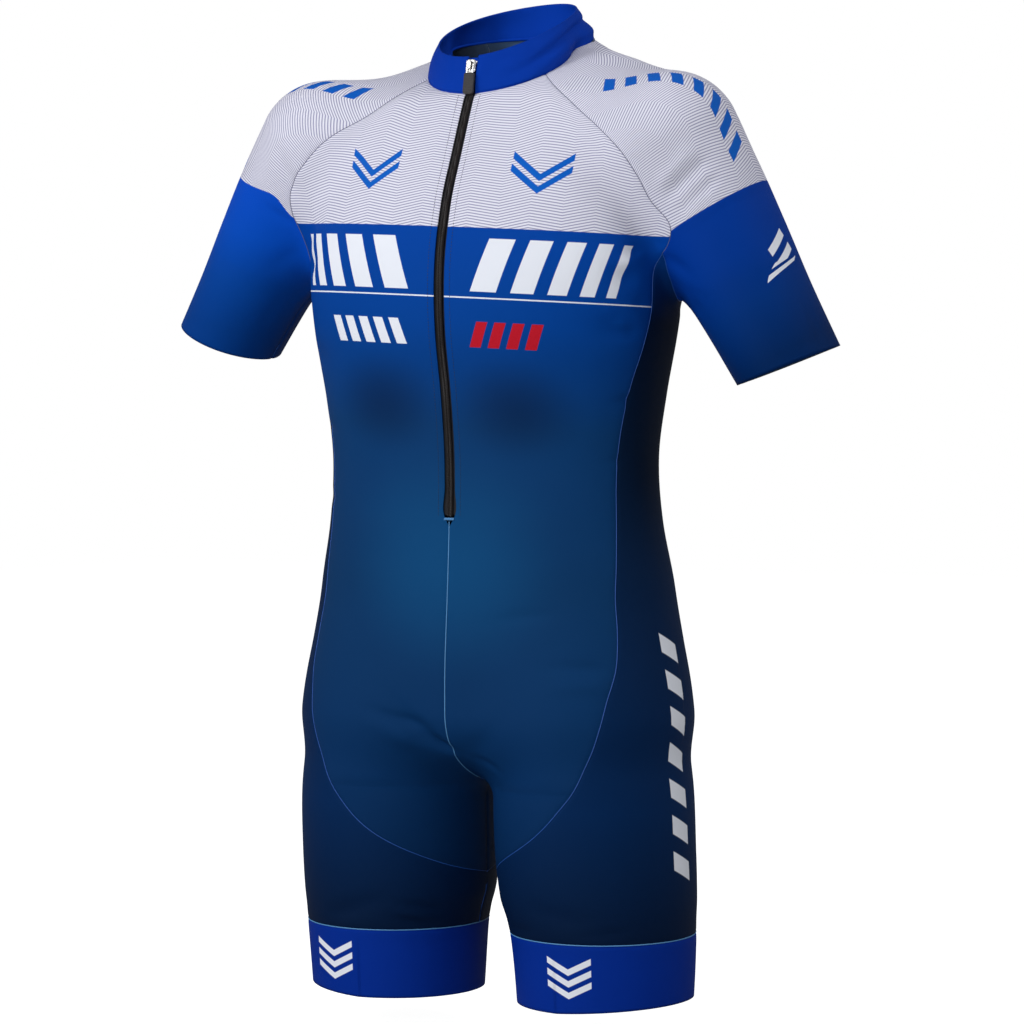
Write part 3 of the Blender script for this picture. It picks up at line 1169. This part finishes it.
def srgb(red, green, blue):
    """A colour given in screen values of 0 to 255, as the shader's linear light."""
    c = np.array([red, green, blue]) / 255
    return (*np.where(c <= 0.04045, c / 12.92, ((c + 0.055) / 1.055) ** 2.4).tolist(), 1.0)


class Finish:
    """A new material with its shader, and short ways to read the surface and mix colours."""

    def __init__(self, name, **shader):
        self.material = bpy.data.materials.new(name)
        self.material.use_nodes = True
        self.tree = self.material.node_tree
        self.shader = self.tree.nodes["Principled BSDF"]
        for key, value in shader.items():
            self.shader.inputs[key.replace("_", " ")].default_value = value

    def add(self, kind, **settings):
        made = self.tree.nodes.new(kind)
        for key, value in settings.items():
            setattr(made, key, value)
        return made

    def link(self, source, target):
        self.tree.links.new(source, target)

    def parts(self, source):
        """The three numbers of a vector, as wires."""
        split_up = self.add("ShaderNodeSeparateXYZ")
        self.link(source, split_up.inputs[0])
        return [Wire(self.tree, out) for out in split_up.outputs]

    def flat(self):
        """u and v of the panel, in metres."""
        return self.parts(self.add("ShaderNodeUVMap", uv_map="flat").outputs[0])[:2]

    def place(self):
        """x, y and z of the point, in metres."""
        return self.parts(self.add("ShaderNodeTexCoord").outputs["Object"])

    def above_blue(self):
        source = self.add("ShaderNodeAttribute", attribute_name="above_blue")
        return Wire(self.tree, source.outputs["Fac"])

    def noise(self, scale, detail=2.0):
        source = self.add("ShaderNodeTexCoord")
        noise = self.add("ShaderNodeTexNoise")
        noise.inputs["Scale"].default_value = scale
        noise.inputs["Detail"].default_value = detail
        self.link(source.outputs["Object"], noise.inputs["Vector"])
        return Wire(self.tree, noise.outputs["Fac"])

    def ramp(self, wire, stops):
        """Screen colours at places from 0 to 1, blended between."""
        node = self.add("ShaderNodeValToRGB")
        band = node.color_ramp
        while len(band.elements) < len(stops):
            band.elements.new(0.5)
        for element, (place, colour) in zip(band.elements, stops):
            element.position = place
            element.color = srgb(*colour)
        self.link(wire.socket, node.inputs[0])
        return node.outputs[0]

    def mix(self, share, a, b):
        node = self.add("ShaderNodeMix", data_type="RGBA")
        self.link(share.socket, node.inputs[0])
        for socket, value in ((node.inputs[6], a), (node.inputs[7], b)):
            if isinstance(value, tuple):
                socket.default_value = value
            else:
                self.link(value, socket)
        return node.outputs[2]

    def colour(self, socket):
        self.link(socket, self.shader.inputs["Base Color"])

    def bump(self, height, distance):
        node = self.add("ShaderNodeBump")
        node.inputs["Distance"].default_value = distance
        self.link(height.socket, node.inputs["Height"])
        self.link(node.outputs[0], self.shader.inputs["Normal"])

    def rough(self, wire):
        self.link(wire.socket, self.shader.inputs["Roughness"])


# %% [markdown]
# ## The print
# The upper part is white with thin lilac-grey lines in a shallow zigzag, a common pinstripe. A sharp edge
# separates it from royal blue, which darkens to navy down the body. On the real suit some places carry
# printing; here they hold plain slanted bars and chevrons instead.

# %% Print formulas
WHITE, LINE = srgb(228, 228, 240), srgb(150, 150, 182)
INK_WHITE, INK_RED, INK_BLUE = srgb(232, 236, 246), srgb(190, 24, 40), srgb(14, 92, 190)
LINE_PITCH, ZIGZAG, ZIGZAG_RISE = 0.00277, 0.062, 0.0059
SLEEVE_ZIGZAG, BODY_ZIGZAG_SHIFT = 1.25, 0.012
CRISP, WALE, COURSE, TWIST = 0.0005, 0.0009, 0.0007, 0.0007


def zigzag_lines(u, v, slope=1.0):
    """Thin lines where v plus a triangle wave of u is near a whole number of line pitches."""
    wave = ((u / ZIGZAG).fract() - 0.5).abs() * (2 * ZIGZAG_RISE * slope)
    phase = ((v + wave) / LINE_PITCH).fract()
    return (0 - (phase - 0.5).abs()).over(-0.19, 0.16)


def slanted_bars(u, v, centres, widths, low, high, lean):
    """Bars between the heights low and high, leaning by lean metres across for each metre up."""
    across = u - (v - low) * lean
    bars = [across.within(centre - width / 2, centre + width / 2, CRISP)
            for centre, width in zip(centres, widths)]
    return most_of(bars).least(v.within(low, high, CRISP))


def chevrons(u, v, centre, height, half, stripe, gap, count, slope=0.7):
    """Nested v shapes: stripes of v - slope * |u - centre|, cut off at the half width."""
    away = (u - centre).abs()
    rise = v - away * slope
    lows = [height + k * (stripe + gap) for k in range(count)]
    stripes = [rise.within(low, low + stripe, CRISP) for low in lows]
    return most_of(stripes).least((0 - away).over(-half, CRISP))


def waves(wire, pitch):
    """A sine that repeats every pitch metres."""
    return (wire * (2 * math.pi / pitch)).sine()


def knit_height(u, v):
    """Fine ribs of the knit: a product of two sines, one for the wales and one for the courses."""
    return waves(u, WALE) * waves(v, COURSE)


def knit_finish(name, roughness=0.56):
    return Finish(name, Roughness=roughness, Specular_IOR_Level=0.07,
                  Specular_Tint=(0.4, 0.7, 1.0, 1.0))


# Blue to navy with the distance below the white, or down the side: share of the length, colour
BODY_FADE_LENGTH, SLEEVE_FADE_LENGTH, SIDE_FADE_LENGTH = 0.75, 0.5, 0.65
BODY_FADE = [(0.0, (2, 64, 158)), (0.12, (2, 63, 146)), (0.25, (12, 58, 110)), (0.45, (12, 53, 97)),
             (0.7, (8, 47, 93)), (1.0, (5, 22, 50))]
SLEEVE_FADE = {
    "left": [(0.0, (2, 55, 153)), (0.1, (2, 54, 146)), (0.2, (2, 49, 122)), (0.3, (2, 37, 90))],
    "right": [(0.0, (4, 73, 193)), (0.1, (2, 72, 182)), (0.2, (2, 63, 150)), (0.3, (2, 56, 132))],
}
SIDE_FADE = [(0.0, (4, 52, 120)), (0.1, (2, 23, 54)), (0.3, (6, 27, 55)), (0.8, (5, 38, 82)),
             (1.0, (5, 22, 50))]


def soft_spot(u, v, place, half):
    """Oval spot: the square of 1 - distance squared, with distance 1 at its edge."""
    across, along = (u - place[0]) / half[0], (v - place[1]) / half[1]
    near = (1 - (across * across + along * along)).most(0.0)
    return near * near


def column_of_bars(u, v, slant, pitch, first, count, left, right):
    """Bars between left and right, repeated along v + slant * u from a whole number of pitches."""
    step = (v + u * slant) / pitch
    bar = step.fract().within(0.1, 0.62, 0.03)
    whole = step.within(first + 0.02, first + count - 0.02, 0.02)
    return bar.least(whole).least(u.within(left, right, CRISP))


# Slant, pitch, first, count, left and right of each column, in metres
ARM_BARS = (-0.5, 0.014, -25, 3, -0.058, -0.026)
SHOULDER_BARS = (-0.5, 0.022, -10, 8, -0.060, -0.034)
THIGH_BARS = (0.45, 0.034, -23, 7, -0.026, 0.002)


def finish_cloth(made, u, v, colour):
    """Slow variation in the shade, knit ribs and an even roughness."""
    drift = made.noise(9.0) * 0.10
    made.colour(made.mix(drift, colour, srgb(0, 12, 44)))
    made.bump(knit_height(u, v) + made.noise(60.0, 3.0) * 1.5, 0.00006)
    return made.material


# Marks on the chest, in metres from the middle and above the blue's edge
BAR_CENTRES, BAR_WIDTHS = (0.040, 0.078, 0.111, 0.139, 0.162), (0.026, 0.022, 0.018, 0.014, 0.010)
BAR_BAND, LINE_BAND, SMALL_BAND = (-0.060, -0.010), (-0.0665, -0.0652), (-0.112, -0.088)
BAR_SLANT, SMALL_WIDTH = 0.35, 0.011
CHEST = {"left": {"small": (0.030, 0.048, 0.066, 0.084), "ink": INK_RED},
         "right": {"small": (0.036, 0.054, 0.072, 0.090, 0.108), "ink": INK_WHITE}}
# Shadow on the belly and light below the zip: place, half sizes, strength and tint
PRINTED_SPOTS = (((0.064, -0.168), (0.075, 0.055), 0.6, (8, 26, 58)),
                 ((0.01, -0.315), (0.115, 0.12), 0.75, (14, 74, 124)))


def body_print(name, marks):
    """Front or back: white over blue, and on the front the bars, the line and the chevrons."""
    made = knit_finish(name)
    u, v = made.flat()
    edge = made.above_blue()
    colour = made.ramp(edge * -1 / BODY_FADE_LENGTH, BODY_FADE)
    if marks:
        for spot, half, strength, tint in PRINTED_SPOTS:
            colour = made.mix(soft_spot(u, edge, spot, half) * strength, colour, srgb(*tint))
        bars = slanted_bars(u, edge, BAR_CENTRES, BAR_WIDTHS, *BAR_BAND, BAR_SLANT)
        line = edge.within(*LINE_BAND, 0.0004)
        small = slanted_bars(u, edge, marks["small"], [SMALL_WIDTH] * len(marks["small"]),
                             *SMALL_BAND, BAR_SLANT)
        colour = made.mix(bars.most(line), colour, INK_WHITE)
        colour = made.mix(small, colour, marks["ink"])
    white = made.mix(zigzag_lines(u + BODY_ZIGZAG_SHIFT, v), WHITE, LINE)
    if marks:
        arrows = chevrons(u, edge, centre=0.085, height=0.034, half=0.030, stripe=0.007, gap=0.005,
                          count=2)
        white = made.mix(arrows, white, INK_BLUE)
    colour = made.mix(edge.over(0.0, CRISP), colour, white)
    return finish_cloth(made, u, v, colour)


def sleeve_print(name, hand):
    """Bars over the shoulder, and three white ones on the left arm."""
    made = knit_finish(name)
    u, v = made.flat()
    edge = made.above_blue()
    colour = made.ramp(edge * -1 / SLEEVE_FADE_LENGTH, SLEEVE_FADE[hand])
    if hand == "left":
        colour = made.mix(column_of_bars(u, v, *ARM_BARS), colour, INK_WHITE)
    white = made.mix(zigzag_lines(u, v, SLEEVE_ZIGZAG), WHITE, LINE)
    white = made.mix(column_of_bars(u, v, *SHOULDER_BARS), white, INK_BLUE)
    colour = made.mix(edge.over(0.0, CRISP), colour, white)
    return finish_cloth(made, u, v, colour)


def side_print(name):
    """A column of bars down the outside of the thigh."""
    made = knit_finish(name)
    u, v = made.flat()
    colour = made.ramp((v - SIDE_TOP * MM) / -SIDE_FADE_LENGTH, SIDE_FADE)
    colour = made.mix(column_of_bars(u, v, *THIGH_BARS), colour, INK_WHITE)
    return finish_cloth(made, u, v, colour)


def cuff_print(name, centre):
    """Royal blue, darker towards its edges, with three chevrons in front."""
    made = knit_finish(name, 0.6)
    u, v = made.flat()
    x, y, z = made.place()
    arrows = chevrons(x, z, centre, height=-0.884, half=0.022, stripe=0.006, gap=0.005, count=3,
                      slope=0.5)
    front = (0 - y).over(0.04, CRISP)
    dark = (z + 0.86).abs() * 2.0
    base = made.mix(dark.least(1.0), srgb(4, 44, 143), srgb(2, 30, 112))
    colour = made.mix(arrows.least(front), base, INK_WHITE)
    return finish_cloth(made, u, v, colour)


def inside_knit(name, colour):
    """The back of the knit: duller and a little fuzzy."""
    made = Finish(name, Roughness=0.85, Specular_IOR_Level=0.2, Sheen_Weight=0.3)
    u, v = made.flat()
    made.colour(made.mix(made.noise(40.0, 3.0), colour, scaled(colour, 0.6)))
    made.bump(knit_height(u, v), 0.0001)
    return made.material


def dress(obj, *finishes):
    """Gives an object these materials and no others."""
    obj.data.materials.clear()
    for made in finishes:
        obj.data.materials.append(made)


CUFF_CHEVRONS = {"left": 0.118, "right": -0.132}
inside = inside_knit("inside_knit", srgb(60, 90, 128))
for name, obj in suit_pieces.items():
    kind, hand = name.rsplit("_", 1)
    title = f"print_{name}"
    if kind in ("front", "back"):
        made = body_print(title, CHEST[hand] if kind == "front" else None)
    elif kind == "sleeve":
        made = sleeve_print(title, hand)
    elif kind == "side_leg":
        made = side_print(title)
    else:
        made = cuff_print(title, CUFF_CHEVRONS[hand])
    dress(obj, made, inside)

# %% Collar, thread and zip finishes
def collar_knit():
    """The same knit, a little lighter away from the middle of its height."""
    made = knit_finish("collar_knit", 0.6)
    u, v = made.flat()
    off_middle = (made.place()[2] - 0.004).abs() * 6.0
    made.colour(made.mix(off_middle.least(1.0), srgb(4, 52, 158), srgb(8, 62, 176)))
    made.bump(knit_height(u, v) + made.noise(70.0, 3.0) * 2.0, 0.00008)
    return made.material


def spun_thread(name, colour):
    """Sewing thread: a fine twist along it, with a soft shine."""
    made = Finish(name, Roughness=0.5, Specular_IOR_Level=0.4)
    x, y, z = made.place()
    made.colour(made.mix(waves(x + y + z, TWIST) * 0.5 + 0.5, colour, scaled(colour, 0.7)))
    return made.material


def black_nylon(name, roughness, colour, pitch):
    """Woven tape and moulded coil: near black, with a fine rib."""
    made = Finish(name, Roughness=roughness, Specular_IOR_Level=0.4)
    rib = waves(made.place()[2], pitch)
    fleck = made.noise(700.0, 2.0)
    made.colour(made.mix(fleck * 0.6, colour, scaled(colour, 2.2)))
    made.bump(rib + fleck, 0.00008)
    return made.material


def cast_metal(name):
    """Plated zinc: bright, with faint cloudy wear in the roughness."""
    made = Finish(name, Metallic=1.0, Base_Color=srgb(205, 203, 200))
    made.rough(made.noise(900.0, 3.0) * 0.25 + 0.16)
    made.bump(made.noise(1500.0, 2.0), 0.00003)
    return made.material


def moulded_grip(name):
    """Dark rubber with fine ribs across."""
    made = Finish(name, Roughness=0.62, Specular_IOR_Level=0.4)
    made.colour(made.mix(made.noise(400.0, 3.0), srgb(38, 36, 38), srgb(58, 55, 57)))
    made.bump(waves(made.place()[2], 0.0016), 0.00012)
    return made.material


THREAD_COLOURS = {"thread_light_blue": (88, 150, 205), "thread_dark": (28, 36, 64),
                  "thread_grey": (110, 112, 140), "thread_royal": (30, 84, 170)}
THREAD_PLACES = {"bartack": "thread_light_blue", "centre_front": "thread_light_blue",
                 "cuff_seam": "thread_light_blue", "topstitch": "thread_dark",
                 "raglan": "thread_grey"}
stand_knit = collar_knit()
spools = {name: spun_thread(name, srgb(*colour)) for name, colour in THREAD_COLOURS.items()}
for name, obj in threads.items():
    chosen = [spool for word, spool in THREAD_PLACES.items() if word in name]
    dress(obj, spools[(chosen + ["thread_royal"])[0]])
for obj in (collar, guard, threads["neck_binding"]):
    dress(obj, stand_knit)
coil_black = black_nylon("coil_black", 0.42, srgb(26, 22, 22), 0.0015)
tape_black = black_nylon("tape_black", 0.8, srgb(20, 20, 24), 0.0006)
for obj in (*coils, bed):
    dress(obj, coil_black)
for name in ("zip_tape_left", "zip_tape_right"):
    dress(bpy.data.objects[name], tape_black)
metal = cast_metal("plated_zinc")
dress(slider, metal)
dress(pull, metal)
dress(grip, moulded_grip("grip_rubber"))

# %% [markdown]
# ## Which pieces are cloth
# The frame wants to know the flat cut of every sheet, because cloth can't be larger than what it was cut
# from. The numbers are the width and length of the rectangle round what shows of a piece when it is laid
# flat, and its area, all measured on the fine cloth.

# %% [markdown]
# ## Floor, light and camera
# The suit is shown alone on white. The key light comes from high on the suit's front right, a weaker one
# fills from the front, and one behind the left shoulder gives that edge some shine. The surround is white
# to the camera but gives little light, and the floor throws none, so the undersides stay dark. The camera
# stands far away with a long lens, a little to the suit's left, so that straight seams stay straight.

# %% Studio
FLOOR_HEIGHT = -935
FLOOR_CORNERS = ((-6000, -4000), (6000, -4000), (6000, 9000), (-6000, 9000))
SURROUND_LIGHT = 0.2


def studio_floor():
    """A pale level floor under the suit, 36 mm below the cuffs. It throws no light up at the suit."""
    points = [(x, y, FLOOR_HEIGHT) for x, y in FLOOR_CORNERS]
    floor = new_object("studio_floor", points, [(0, 1, 2, 3)], smooth=False)
    made = Finish("pale_floor", Roughness=0.9, Base_Color=(0.4, 0.4, 0.4, 1),
                  Emission_Color=(1, 1, 1, 1), Emission_Strength=0.95)
    floor.data.materials.append(made.material)
    floor.visible_diffuse = floor.visible_glossy = False


def soft_light(name, place, target, size, power):
    """A square area light turned towards a point."""
    data = bpy.data.lights.new(name, "AREA")
    data.size, data.energy = size, power
    lamp = bpy.data.objects.new(name, data)
    bpy.context.scene.collection.objects.link(lamp)
    way = np.array(target, float) - np.array(place, float)
    lamp.location = place
    lamp.rotation_euler = (math.acos(-way[2] / np.linalg.norm(way)), 0,
                           math.atan2(way[1], way[0]) - math.pi / 2)


studio_floor()
world = bpy.data.worlds.new("white_surround")
bpy.context.scene.world = world
world.use_nodes = True
surround = world.node_tree.nodes["Background"]
surround.inputs[0].default_value = (1, 1, 1, 1)
seen = world.node_tree.nodes.new("ShaderNodeLightPath")
brightness = world.node_tree.nodes.new("ShaderNodeMapRange")
brightness.inputs["To Min"].default_value = SURROUND_LIGHT
brightness.inputs["To Max"].default_value = 1.0
world.node_tree.links.new(seen.outputs["Is Camera Ray"], brightness.inputs["Value"])
world.node_tree.links.new(brightness.outputs[0], surround.inputs[1])
soft_light("edge_left", (2.2, 0.4, 1.7), (0, 0, -0.2), 1.0, 34)
soft_light("key_right", (-1.7, -2.7, 1.4), (0, 0, -0.35), 1.1, 74)
soft_light("fill_front", (0.4, -3.7, -0.1), (0, 0, -0.45), 1.6, 58)
bpy.context.scene.view_settings.view_transform = "Standard"

# %% Camera
camera_data = bpy.data.cameras.new("camera")
camera = bpy.data.objects.new("camera", camera_data)
bpy.context.scene.collection.objects.link(camera)
FOCAL_PIXELS, FRAME_PIXELS, SENSOR, SHIFT_PIXELS = 3299, 1024, 36, (15, -92)
camera_data.sensor_width = SENSOR
camera_data.lens = SENSOR * FOCAL_PIXELS / FRAME_PIXELS
camera_data.shift_x, camera_data.shift_y = (shift / FRAME_PIXELS for shift in SHIFT_PIXELS)
camera_data.clip_end = 50
camera.location = (1.4028, -2.9142, -0.3453)
camera.rotation_euler = (math.pi / 2, 0, math.radians(26))
bpy.context.scene.camera = camera
